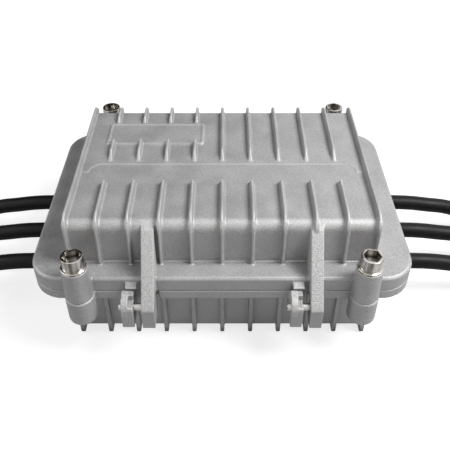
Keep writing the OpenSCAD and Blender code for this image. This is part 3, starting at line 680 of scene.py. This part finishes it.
@dataclass
class Studio:
    """Camera, pale floor and soft lamps."""

    camera_place: Point = (0.00177, -0.33909, 0.32625)
    camera_tilt: float = 49.19
    focal_px: float = 623.4
    frame_px: float = 450.0
    sensor: float = 36.0
    floor_size: float = 40.0
    floor_colour: float = 0.4
    floor_mirrored: float = 0.3
    glow_reach: Span = (0.35, 1.5)
    glow: Span = (0.76, 1.0)
    ambient: float = 0.14
    target: Point = (0, 0, 0.05)

    def build(self) -> None:
        """Makes the camera, then the floor, the lamps and the world."""
        self.make_camera()
        self.make_floor()
        self.make_lamps()
        self.make_world()
        bpy.context.scene.view_settings.view_transform = "Standard"

    def make_camera(self) -> None:
        """Stands the camera where the photograph was taken."""
        data = bpy.data.cameras.new("camera")
        data.sensor_width = self.sensor
        data.lens = self.focal_px / self.frame_px * self.sensor
        data.clip_start = 0.01
        camera = placed("camera", data)
        camera.location = self.camera_place
        camera.rotation_euler = (math.radians(self.camera_tilt), 0, 0)
        bpy.context.scene.camera = camera

    def backdrop_share(self, tree: bpy.types.NodeTree, mirrored: float = 1.0) -> Socket:
        """Tells rays that look at the backdrop from those that light the object.

        Args:
            tree: Node tree of the backdrop.
            mirrored: Level for reflections.

        Returns:
            1 for a look, straight or through glass, the level for a reflection, and 0 for light.
        """
        path = tree.nodes.new("ShaderNodeLightPath")
        total = path.outputs["Is Camera Ray"]
        for name, weight in (("Is Glossy Ray", mirrored), ("Is Transmission Ray", 1.0)):
            weighed = tree.nodes.new("ShaderNodeMath")
            weighed.operation = "MULTIPLY_ADD"
            tree.links.new(path.outputs[name], weighed.inputs[0])
            weighed.inputs[1].default_value = weight
            tree.links.new(total, weighed.inputs[2])
            total = weighed.outputs[0]
        return total

    def make_floor(self) -> None:
        """Lays a white floor that keeps the object's shadow and glows more away from it."""
        bm = bmesh.new()
        bmesh.ops.create_grid(bm, x_segments=1, y_segments=1, size=self.floor_size / 2)
        floor = Shape.piece("floor", bm)
        graph = NodeGraph("floor")
        graph.surface((self.floor_colour,) * 3, 0.0, 0.9)
        x, y, _ = graph.axes()
        away = graph.maths("SQRT", graph.plus(graph.times(x, x), graph.times(y, y)))
        level = graph.remap(away, self.glow_reach, self.glow)
        lift = graph.times(self.backdrop_share(graph.tree, self.floor_mirrored), level)
        graph.fill(Specular_IOR_Level=0.0, Emission_Color=(1, 1, 1, 1), Emission_Strength=lift)
        floor.data.materials.append(graph.material)

    def lamp(self, name: str, place: Point, side: float, power: float) -> None:
        """Hangs one square soft lamp, by its middle, its side and its power in watts."""
        data = bpy.data.lights.new(name, "AREA")
        data.size = side
        data.energy = power
        made = placed(name, data)
        made.location = place
        made.rotation_mode = "QUATERNION"
        made.rotation_quaternion = (Vector(self.target) - Vector(place)).to_track_quat("-Z", "Y")

    def make_lamps(self) -> None:
        """Hangs a key lamp on the right, a weak fill on the left and a card for reflections."""
        self.lamp("key", (0.49, -0.15, 0.72), 0.4, 8.3)
        self.lamp("fill", (-0.75, -0.05, 0.5), 0.6, 2.6)
        self.card("dark_card", (-0.58, 0.88, 0.7), (1.75, 1.35))

    def card(self, name: str, place: Point, size: Span) -> None:
        """Stands a black card that metal reflects, and that neither shades nor shows."""
        bm = bmesh.new()
        bmesh.ops.create_grid(bm, x_segments=1, y_segments=1, size=0.5)
        bmesh.ops.scale(bm, verts=bm.verts, vec=(size[0], size[1], 1))
        turn = (Vector(self.target) - Vector(place)).to_track_quat("Z", "Y").to_matrix().to_4x4()
        made = Shape.piece(name, bm, Matrix.Translation(place) @ turn)
        graph = NodeGraph(name)
        graph.surface((0.01, 0.01, 0.01), 0.0, 1.0)
        made.data.materials.append(graph.material)
        made.visible_camera = made.visible_diffuse = made.visible_shadow = False
        made.visible_transmission = made.visible_volume_scatter = False

    def make_world(self) -> None:
        """Surrounds the scene with even light and a white view."""
        world = bpy.data.worlds.new("studio")
        world.use_nodes = True
        bpy.context.scene.world = world
        tree = world.node_tree
        background = tree.nodes["Background"]
        background.inputs["Color"].default_value = (1, 1, 1, 1)
        level = tree.nodes.new("ShaderNodeMapRange")
        level.inputs["To Min"].default_value = self.ambient
        tree.links.new(self.backdrop_share(tree), level.inputs["Value"])
        tree.links.new(level.outputs["Result"], background.inputs["Strength"])


@dataclass
class RoundConnector:
    """Boot, shell and insert on the far end of a lead."""

    coupling: Coupling
    boot_length: float = 0.018
    shell_length: float = 0.042
    mate_length: float = 0.018
    shell_radius: float = 0.0095
    nose_radius: float = 0.0079
    barrel_radius: float = 0.008
    boot_small: float = 0.0066
    boot_large: float = 0.008
    edge: float = 0.0004
    boot_ribs: int = 5
    rib_profile: tuple[Span, ...] = ((0.03, 1), (0.2, 0), (0.62, 0), (0.8, 1), (0.9, 2))
    grip_start: float = 0.004
    grip_pitch: float = 0.0022
    nose_wall: float = 0.0015
    seat_depth: float = 0.004
    shell_bore: float = 0.001
    insert_length: float = 0.005
    pin_radius: float = 0.0012
    pin_ring: float = 0.004
    pin_short: float = 0.003

    def boot(self) -> Mesh:
        """Rubber boot with soft ribs that grow towards the shell."""
        count = self.boot_ribs
        profile = [(0.0, 0.0), (self.boot_small - self.edge, 0.0)]
        pitch = self.boot_length / count
        for k in range(count):
            radius = self.boot_small + (self.boot_large - self.boot_small) * (k + 0.5) / count
            profile += [(radius - sunk * self.edge, k * pitch + share * pitch)
                        for share, sunk in self.rib_profile]
        profile += [(self.boot_large - 2 * self.edge, self.boot_length), (0.0, self.boot_length)]
        return Shape.revolved(profile)

    def shell(self) -> Mesh:
        """Turned metal shell: an open barrel on a plug, a narrow nose on a socket."""
        start, end = self.boot_length, self.boot_length + self.shell_length
        shoulder = end - self.mate_length
        r, e = self.shell_radius, self.edge
        body = [(self.boot_large, start), (r - e, start), (r, start + e)]
        for k in range(4):
            z = start + self.grip_start + self.grip_pitch * k
            body += [(r, z), (r - e, z + e), (r - e, z + 2 * e), (r, z + 3 * e)]
        seat, bore = shoulder - self.seat_depth, self.shell_bore
        if self.coupling is Coupling.PLUG:
            mouth = self.barrel_radius
            body += [(r, end - 2 * e), (r - 0.6 * e, end - 0.6 * e), (r - 2 * e, end),
                     (mouth, end - e)]
        else:
            nose, mouth = self.nose_radius, self.nose_radius - self.nose_wall
            body += [(r, shoulder - e), (r - e, shoulder), (nose, shoulder + e), (nose, end - e),
                     (nose - e, end), (mouth, end - e)]
        body += [(mouth, seat), (bore, seat), (bore, start)]
        return Shape.revolved(body, closed=True)

    def insert(self) -> Mesh:
        """Insulator that carries a plug's pins."""
        face = self.boot_length + self.shell_length - self.mate_length
        low, r, e = face - self.insert_length, self.barrel_radius, self.edge / 2
        return Shape.revolved([(0.0, low), (r - e, low), (r, low + e), (r, face - e), (r - e, face),
                               (0.0012, face), (0.0008, face - e), (0.0, face - e)])

    def pins(self) -> Mesh:
        """The three gilt pins of a plug."""
        face = self.boot_length + self.shell_length - self.mate_length
        r, tip, foot = self.pin_radius, face + self.mate_length - self.pin_short, face - 0.0005
        outline = [(0.0, foot), (r, foot), (r, tip - r), (0.8 * r, tip - 0.4 * r), (0.4 * r, tip),
                   (0.0, tip)]
        out = Matrix.Translation((self.pin_ring, 0, 0))
        places = [Matrix.Rotation(math.tau * k / 3, 4, "Z") @ out for k in range(3)]
        return Shape.joined([(Shape.revolved(outline, steps=20), place) for place in places])


@dataclass
class Lead:
    """One black cable, from its gland to its connector on the ground."""

    name: str
    side: int
    row: Row
    coupling: Coupling
    length: float
    diameter: float = 0.0108
    rows_pitch: float = 0.032

    def points(self) -> list[Point]:
        """Route of this lead, mirrored for the left side."""
        run_x = RUN_X + RUN_END_X[self.row]
        return [(self.side * x, y, z) for x, y, z in zip(run_x, RUN_Y[self.row], RUN_Z)]

    def cable(self) -> Piece:
        """Smooth round cable along the route."""
        data = bpy.data.curves.new(f"lead_{self.name}", "CURVE")
        data.dimensions = "3D"
        data.bevel_depth = self.diameter / 2
        data.bevel_resolution = data.resolution_u = 8
        data.use_fill_caps = True
        spline = data.splines.new("BEZIER")
        route = self.points()
        spline.bezier_points.add(len(route) - 1)
        for knot, point in zip(spline.bezier_points, route):
            knot.co = point
            knot.handle_left_type = knot.handle_right_type = "AUTO"
        return placed(data.name, data)

    def end_place(self) -> Matrix:
        """Frame of the cable's end, with the way on along its Z axis."""
        last, end = (Vector(p) for p in self.points()[-2:])
        turn = math.atan2(end.y - last.y, end.x - last.x)
        lay = Matrix.Rotation(turn, 4, "Z") @ Matrix.Rotation(math.pi / 2, 4, "Y")
        return Matrix.Translation(end) @ lay

    def build(self, finishes: Finishes) -> None:
        cable = self.cable()
        kit = RoundConnector(self.coupling)

        def stand(kind: str, mesh: Mesh) -> Piece:
            """Puts a part of the connector on the cable's end."""
            return Shape.piece(f"{kind}_{self.name}", mesh, self.end_place(), smooth_angle=50)

        boot, shell = stand("boot", kit.boot()), stand("shell", kit.shell())
        kinds = {
            cable: ("cable_", "cable_rubber"), boot: ("connector_boot_", "boot_rubber"),
            shell: ("connector_shell_", "shell_metal"),
        }
        if self.coupling is Coupling.PLUG:
            insert = stand("insert", kit.insert())
            kinds[stand("pins", kit.pins())] = ("", "brass")
        else:
            copy = Shape.softened(f"connector_insert_{self.name}", 0.0002)
            insert = Shape.piece(f"insert_{self.name}", copy)
        kinds[insert] = ("connector_insert_", "insert_plastic")
        for made, (prefix, slot) in kinds.items():
            finishes.dress(made, slot, prefix and prefix + self.name)
        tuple(self.points()[0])
        log.info("lead %s, %.0f mm to its connector", self.name, self.length * 1000)


LEADS = [
    Lead("power", -1, Row.BACK, Coupling.PLUG, 0.178),
    Lead("input", -1, Row.MIDDLE, Coupling.PLUG, 0.181),
    Lead("out1", -1, Row.FRONT, Coupling.SOCKET, 0.179),
    Lead("out2", 1, Row.FRONT, Coupling.SOCKET, 0.179),
    Lead("out3", 1, Row.MIDDLE, Coupling.SOCKET, 0.181),
    Lead("out4", 1, Row.BACK, Coupling.SOCKET, 0.178),
]


@dataclass
class Gland:
    """Nickel plated cable gland round one lead, and the locknut that holds it inside the wall."""

    flats: float = 0.024
    thread_radius: float = 0.010
    cable_bore: float = 0.0055
    body_bore: float = 0.0059
    height: float = 0.029
    hex_x: float = 0.0952
    nut_x: float = 0.1002
    end_x: float = 0.115
    stub_x: float = 0.0832
    locknut_x: float = 0.0852
    locknut_end_x: float = 0.0897
    thread_pitch: float = 0.0015
    thread_depth: float = 0.0005
    thread_length: float = 0.0095
    hexagon_length: float = 0.0078
    clamp_bore: float = 0.0086
    clamp_depth: float = 0.008
    smooth_angle: float = 25.0

    def place(self, lead: Lead) -> Matrix:
        """Frame of an entry, with the way out along its Z axis from the middle of the case."""
        move = Matrix.Translation((0, lead.row.value * lead.rows_pitch, self.height))
        return move @ Matrix.Rotation(lead.side * math.pi / 2, 4, "Y")

    def hexagon(self, low: float, high: float) -> list[Span]:
        """Outline of a hexagon with a round chamfer at both ends."""
        corner = self.flats / math.sqrt(3)
        chamfer = [(0.0, self.flats / 2 + 0.0004), (0.0007, corner - 0.0002), (0.0008, corner)]
        return [(low + z, r) for z, r in chamfer] + [(high - z, r) for z, r in reversed(chamfer)]

    def threads(self, low: float, high: float) -> list[Span]:
        """Outline of a threaded run."""
        turns = int((high - low) / self.thread_pitch)
        crest, root = self.thread_radius, self.thread_radius - self.thread_depth
        return [(low + (k + share) * self.thread_pitch, r) for k in range(turns)
                for share, r in ((0.0, root), (0.35, crest), (0.6, crest), (0.95, root))]

    def nut(self) -> Mesh:
        """Domed nut."""
        shoulder, r = self.nut_x + self.hexagon_length, self.flats / 2
        dome = [(0.0003, 0.0002), (0.0015, 0.0003), (0.0035, 0.0009), (0.0052, 0.0018),
                (0.0064, 0.003), (0.007, 0.0044)]
        rings = self.hexagon(self.nut_x, shoulder) + [(shoulder + z, r - sunk) for z, sunk in dome]
        seat, inner = self.nut_x + self.thread_length + 0.0001, self.thread_radius + 0.0001
        bore = self.cable_bore
        rings += [(self.end_x, bore + 0.0004), (self.end_x - 0.0005, bore), (seat, bore),
                  (seat, inner), (self.nut_x, inner)]
        return Shape.nut(self.flats, rings)

    def body(self) -> Mesh:
        """Body with its hexagon, and a thread on both sides of it."""
        end, r = self.nut_x + self.thread_length, self.thread_radius
        seat, wide = end - self.clamp_depth, self.clamp_bore
        rings = [(self.stub_x, r - 0.0007)]
        rings += self.threads(self.stub_x + 0.0003, self.hex_x - self.thread_pitch)
        rings += [(self.hex_x, r - self.thread_depth)] + self.hexagon(self.hex_x, self.nut_x)
        rings += [(self.nut_x, r), (end, r), (end, wide), (seat, wide), (seat, self.body_bore),
                  (self.stub_x, self.body_bore)]
        return Shape.nut(self.flats, rings)

    def locknut(self) -> Mesh:
        """Flat nut inside the wall."""
        bore = self.thread_radius + 0.00005
        rings = self.hexagon(self.locknut_x, self.locknut_end_x)
        return Shape.nut(self.flats, rings + [(self.locknut_end_x, bore), (self.locknut_x, bore)])

    def build(self, finishes: Finishes) -> None:
        """Makes the glands of all leads."""
        locknuts = [(self.locknut(), self.place(lead)) for lead in LEADS]
        parts = [("locknuts", Shape.joined(locknuts), None)]
        for lead in LEADS:
            place = self.place(lead)
            parts.append((f"nut_{lead.name}", self.nut(), place))
            parts.append((f"body_{lead.name}", self.body(), place))
        for name, mesh, place in parts:
            made = Shape.piece(name, mesh, place, self.smooth_angle)
            finishes.dress(made, "gland_metal", f"gland_{name}")
        log.info("%d glands", len(LEADS))


@dataclass
class Casting:
    """A die casting with drafted fins, whose corners are rounded as the mould leaves them.

    Its fins stand out of plain walls, which reach to wall_y at the front and back and over the
    heights of wall_z. crest_share is how much of a fin's thickness its crest keeps.
    """

    node: str
    body: Body
    fin_pitch: float
    fin_thickness: float
    wall_y: float
    wall_z: Span
    crest_share: float
    tip_radius: float = 0.0
    voxel: float = 0.0005
    draft_voxel: float = 0.0008
    rounding: int = 2
    most_faces: int = 185_000
    tolerance: float = 0.00005

    def fin_middle(self, x: float) -> float:
        """Gives the middle of the nearest fin."""
        return round(x / self.fin_pitch) * self.fin_pitch

    def draft_fins(self, bm: Mesh) -> None:
        """Narrows the crests of the fins, outside the plain walls."""
        for vert in bm.verts:
            x, y, z = vert.co
            middle = self.fin_middle(x)
            outside = abs(y) > self.wall_y or not self.wall_z[0] <= z <= self.wall_z[1]
            if outside and abs(abs(x - middle) - self.fin_thickness / 2) < self.tolerance:
                vert.co.x = middle + (x - middle) * self.crest_share

    def round_tips(self, mesh: bpy.types.Mesh) -> None:
        """Rounds the lower ends of the fins that the box stands on."""
        for vert in mesh.vertices:
            drop = 1 - max(0.0, vert.co.z) / self.tip_radius
            if drop > 0:
                middle = self.fin_middle(vert.co.x)
                vert.co.x = middle + (vert.co.x - middle) * math.sqrt(1 - 0.9 * drop * drop)

    def build(self, finishes: Finishes) -> None:
        """Rounds a copy of the casting and stands it for the CAD node."""
        bm = Shape.merged(self.node)
        self.draft_fins(bm)
        raw = Shape.piece(f"{self.node}_raw", bm)
        remesh = raw.modifiers.new("skin", "REMESH")
        remesh.mode = "VOXEL"
        remesh.voxel_size = self.voxel
        raw.modifiers.new("rounding", "SMOOTH").iterations = self.rounding
        dense = baked(raw)
        if self.tip_radius:
            self.round_tips(dense)
        bpy.data.objects.remove(raw)
        made = placed(f"{self.node}_cast", dense)
        thin = made.modifiers.new("thinning", "DECIMATE")
        thin.ratio = min(1.0, self.most_faces / (2 * len(dense.polygons)))
        made.data = baked(made)
        made.modifiers.clear()
        made.data.polygons.foreach_set("use_smooth", [True] * len(made.data.polygons))
        finishes.dress(made, "cast_alloy", self.node, self.body.value)
        log.info("%s with %d faces", made.name, len(made.data.polygons))


CASTINGS = [
    Casting("base_housing", Body.CASE, fin_pitch=0.01846, fin_thickness=0.0028, wall_y=0.0701,
            wall_z=(0.0018, 1.0), crest_share=1.0, tip_radius=0.0016),
    Casting("lid_housing", Body.LID, fin_pitch=0.0185, fin_thickness=0.0024, wall_y=0.0665,
            wall_z=(0.0, 0.0915), crest_share=0.62),
]


@dataclass
class CoverScrew:
    """Socket head screw with its washer."""

    number: int
    head_radius: float = 0.0065
    head_height: float = 0.008
    shank_radius: float = 0.004
    socket_flats: float = 0.0096
    socket_depth: float = 0.005
    edge: float = 0.0005
    corner_steps: int = 8
    first_turn: float = 17.0
    next_turn: float = 31.0

    def mesh(self, head_z: float, low_z: float) -> Mesh:
        """Builds the screw round the Z axis.

        Args:
            head_z: Height of the head's underside.
            low_z: Height of the shank's end.

        Returns:
            The closed screw.
        """
        bm = bmesh.new()
        top = head_z + self.head_height
        hexagon = bmesh.ops.create_circle(bm, segments=6, radius=self.socket_flats / math.sqrt(3))
        hexagon_edges = list({e for v in hexagon["verts"] for e in v.link_edges})
        bmesh.ops.subdivide_edges(bm, edges=hexagon_edges, cuts=self.corner_steps - 1)
        inner = list(bm.edges)
        radius, height = self.head_radius - self.edge, top
        circle = bmesh.ops.create_circle(bm, segments=6 * self.corner_steps, radius=radius)
        ring = list({e for v in circle["verts"] for e in v.link_edges})
        bmesh.ops.bridge_loops(bm, edges=inner + ring)
        bmesh.ops.translate(bm, verts=bm.verts, vec=(0, 0, top))
        self.extend(bm, inner, 1.0, -self.socket_depth)
        below = top - self.socket_depth / 2
        floor = [e for e in bm.edges if e.is_boundary and e.verts[0].co.z < below]
        bmesh.ops.contextual_create(bm, geom=floor)
        head, shank, e = self.head_radius, self.shank_radius, self.edge
        outline = [
            (head - 0.3 * e, top - 0.3 * e), (head, top - e), (head, head_z + e / 2),
            (head - e / 2, head_z), (shank, head_z), (shank, low_z + e), (shank - e, low_z),
        ]
        for next_radius, next_height in outline:
            ring = self.extend(bm, ring, next_radius / radius, next_height - height)
            radius, height = next_radius, next_height
        bmesh.ops.contextual_create(bm, geom=ring)
        bmesh.ops.recalc_face_normals(bm, faces=bm.faces)
        return bm

    @staticmethod
    def extend(bm: Mesh, loop: list[bmesh.types.BMEdge], scale: float,
               rise: float) -> list[bmesh.types.BMEdge]:
        """Extrudes a loop round the Z axis by a scale and a rise, and returns the new loop."""
        made = bmesh.ops.extrude_edge_only(bm, edges=loop)["geom"]
        verts = [g for g in made if isinstance(g, bmesh.types.BMVert)]
        bmesh.ops.scale(bm, verts=verts, vec=(scale, scale, 1))
        bmesh.ops.translate(bm, verts=verts, vec=(0, 0, rise))
        wanted = set(verts)
        return [g for g in made if isinstance(g, bmesh.types.BMEdge)
                and g.verts[0] in wanted and g.verts[1] in wanted]

    def build(self, finishes: Finishes) -> None:
        """Makes the screw where the CAD screw stands."""
        node = f"cover_screw_{self.number}"
        low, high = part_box(node)
        middle = (low + high) / 2
        place = Matrix.Translation((middle.x, middle.y, 0))
        turned = math.radians(self.first_turn + self.next_turn * self.number)
        place @= Matrix.Rotation(turned, 4, "Z")
        bm = self.mesh(high.z - self.head_height, low.z)
        made = Shape.piece(f"socket_screw_{self.number}", bm, place, smooth_angle=30)
        finishes.dress(made, "bright_steel", node, f"screw_{self.number}")
        log.info("cover screw %d", self.number)


@dataclass
class Plain:
    """A piece that keeps its CAD shape, with softened edges and a finish."""

    node: str
    slot: str
    softening: float = 0.0003
    body: Body = Body.CASE

    def build(self, finishes: Finishes) -> None:
        """Softens and dresses the piece."""
        mesh = Shape.softened(self.node, self.softening)
        made = Shape.piece(f"{self.node}_finished", mesh)
        finishes.dress(made, self.slot, self.node, self.body.value)
        log.info("%s dressed in %s", self.node, self.slot)


PLAIN_PIECES = [
    Plain("lid_gasket", "gasket_rubber"),
    Plain("cover_washers", "bright_steel", body=Body.LID),
    Plain("hinge_pin_left", "gland_metal", 0.0004, Body.LID),
    Plain("hinge_pin_right", "gland_metal", 0.0004, Body.LID),
    Plain("gland_seals", "gasket_rubber"),
    Plain("gland_washers", "gasket_rubber"),
    Plain("inner_jackets", "cable_rubber"),
    Plain("core_wires", "wire_plastic", 0.0002),
    Plain("main_board", "board_laminate", 0.0001),
    Plain("board_standoffs", "brass", 0.0002),
    Plain("board_screws", "bright_steel"),
    Plain("power_module", "module_plastic", 0.0006),
    Plain("terminal_blocks", "terminal_plastic"),
    Plain("optocouplers", "white_plastic", 0.00015),
    Plain("line_drivers", "module_plastic", 0.00015),
    Plain("fuse", "fuse_glass"),
]


def main() -> None:
    """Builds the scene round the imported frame."""
    logging.basicConfig(level=logging.INFO, format="%(message)s")
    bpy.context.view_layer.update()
    Studio().build()
    finishes = Finishes()
    screws = [CoverScrew(number) for number in range(1, 5)]
    for part in (*LEADS, *CASTINGS, Gland(), *screws, *PLAIN_PIECES):
        part.build(finishes)


if __name__ == "__main__":
    main()
